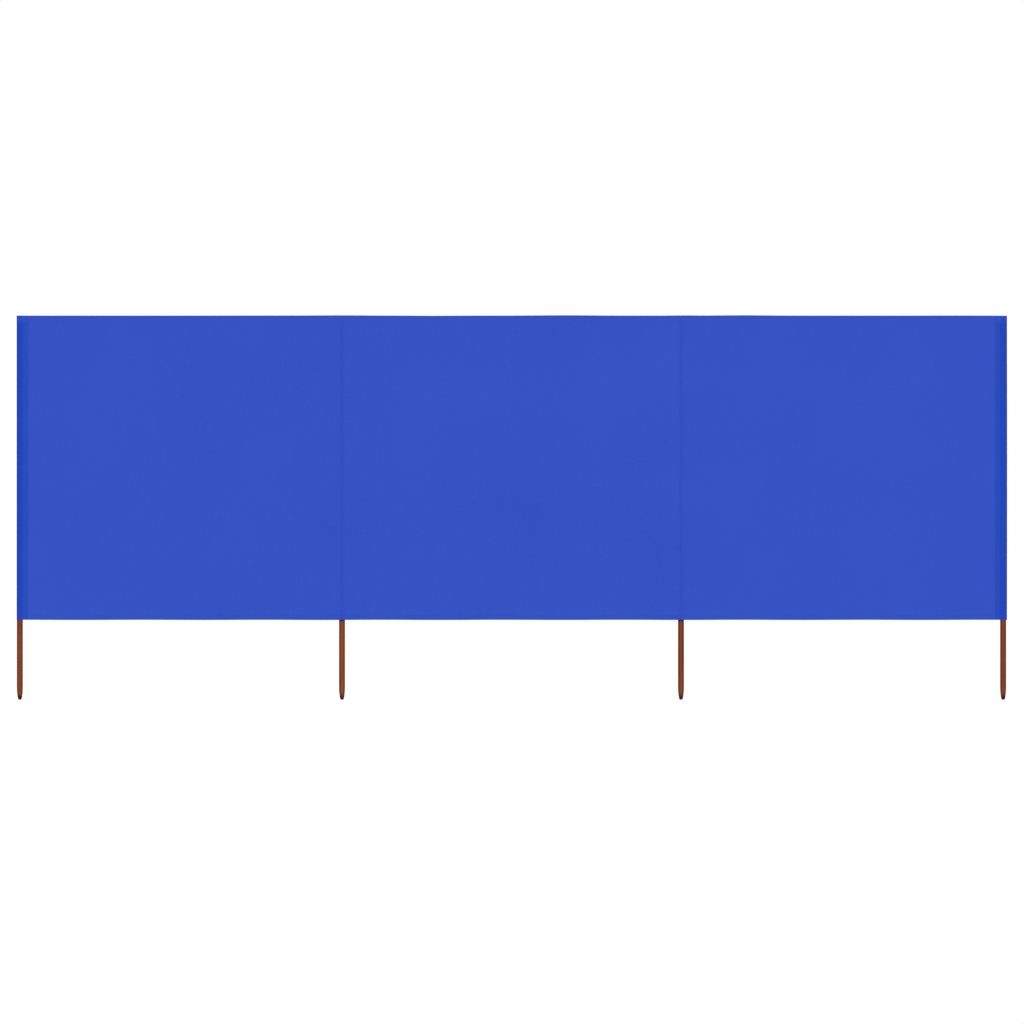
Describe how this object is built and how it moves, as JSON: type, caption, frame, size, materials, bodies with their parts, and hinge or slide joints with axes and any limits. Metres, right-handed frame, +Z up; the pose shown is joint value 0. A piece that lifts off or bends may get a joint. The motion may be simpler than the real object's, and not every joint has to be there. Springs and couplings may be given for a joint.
{
  "type": "beach windbreak",
  "caption": "Cloth windbreak in bays, on round wooden poles that are pushed into the sand. The outer bays turn beside the middle poles.",
  "frame": {"origin": "centre of the flat foot of pole_2, the second pole from the left seen from the front", "axes": "+X along the windbreak, to the right seen from the front; the front looks towards -Y, and the middle poles stand behind the cloth; +Z up along the poles"},
  "size_m": [4.0006, 0.0461, 1.552],
  "materials": {
    "cloth": "matte",
    "pole_wood": "satin"
  },
  "bodies": {
    "middle_bay": {"pole_2": "pole_wood", "pole_3": "pole_wood", "pole_2_sleeve": "cloth", "pole_3_sleeve": "cloth", "middle_panel": "cloth", "middle_top_hem": "cloth", "middle_bottom_hem": "cloth"},
    "left_bay": {"pole_1": "pole_wood", "left_sleeve": "cloth", "left_panel": "cloth", "left_top_hem": "cloth", "left_bottom_hem": "cloth"},
    "right_bay": {"pole_4": "pole_wood", "right_sleeve": "cloth", "right_panel": "cloth", "right_top_hem": "cloth", "right_bottom_hem": "cloth"}
  },
  "joints": [
    {"name": "left_fold", "type": "hinge", "parent": "middle_bay", "child": "left_bay", "pos_m": [-0.0345, -0.0195, 0.937], "axis": [0, 0, 1], "range_deg": [-120, 120]},
    {"name": "right_fold", "type": "hinge", "parent": "middle_bay", "child": "right_bay", "pos_m": [1.4045, -0.0195, 0.937], "axis": [0, 0, -1], "range_deg": [-120, 120]}
  ]
}
